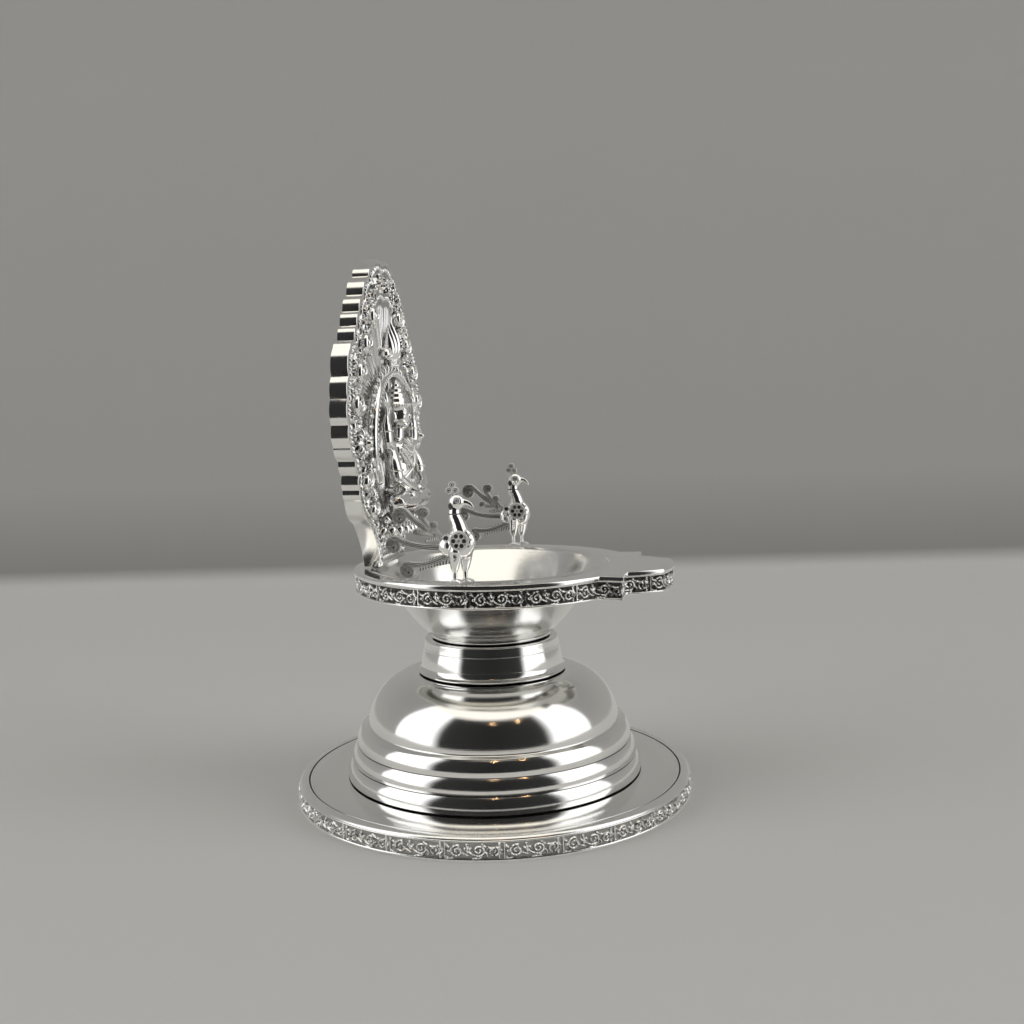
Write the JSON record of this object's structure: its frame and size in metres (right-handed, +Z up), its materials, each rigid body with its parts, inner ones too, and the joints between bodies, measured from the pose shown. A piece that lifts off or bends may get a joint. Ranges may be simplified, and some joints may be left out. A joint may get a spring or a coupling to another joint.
{
  "type": "oil lamp",
  "caption": "Silver oil lamp: stepped stand, bowl in a spouted tray, scalloped back panel with relief, peacocks beside it.",
  "frame": {"origin": "centre of the foot's underside, on the surface the lamp stands on", "axes": "+Z up; +X towards the tray's spout, away from the back panel; +Y to the lamp's left; symmetric about the plane Y = 0"},
  "size_m": [0.09, 0.09, 0.1209],
  "materials": {
    "polished_silver": "mirror-polished silver, faintly brushed",
    "stamped_silver": "stamped scroll strip, darker in its recesses",
    "chased_silver": "bright cast and chased silver",
    "filigree_silver": "wire work with oxidised dark recesses",
    "brass": "plain turned brass"
  },
  "bodies": {
    "stand": {"foot_band": "stamped_silver", "foot_shelf": "polished_silver", "stepped_dome": "polished_silver", "collar": "polished_silver", "union_nut": "brass"},
    "head": {"union_stud": "brass", "bowl": "polished_silver", "tray_plate": "polished_silver", "tray_band": "stamped_silver", "panel_edge_strip": "polished_silver", "panel_front_sheet": "chased_silver", "panel_back_sheet": "polished_silver", "halo_arch": "chased_silver", "lotus_seat": "chased_silver", "deity_figure": "chased_silver", "crest_ornament": "chased_silver", "rosette_left": "chased_silver", "rosette_right": "chased_silver", "peacock_left_body": "chased_silver", "peacock_left_crest": "filigree_silver", "peacock_left_wing_outer": "filigree_silver", "peacock_left_wing_inner": "filigree_silver", "peacock_left_legs": "chased_silver", "peacock_left_tail_upper": "filigree_silver", "peacock_left_tail_middle": "filigree_silver", "peacock_left_tail_lower": "filigree_silver", "peacock_right_body": "chased_silver", "peacock_right_crest": "filigree_silver", "peacock_right_wing_outer": "filigree_silver", "peacock_right_wing_inner": "filigree_silver", "peacock_right_legs": "chased_silver", "peacock_right_tail_upper": "filigree_silver", "peacock_right_tail_middle": "filigree_silver", "peacock_right_tail_lower": "filigree_silver"}
  },
  "joints": [
    {"name": "head_turn", "type": "hinge", "parent": "stand", "child": "head", "pos_m": [0, 0, 0.0356], "axis": [0, 0, 1], "continuous": true}
  ]
}
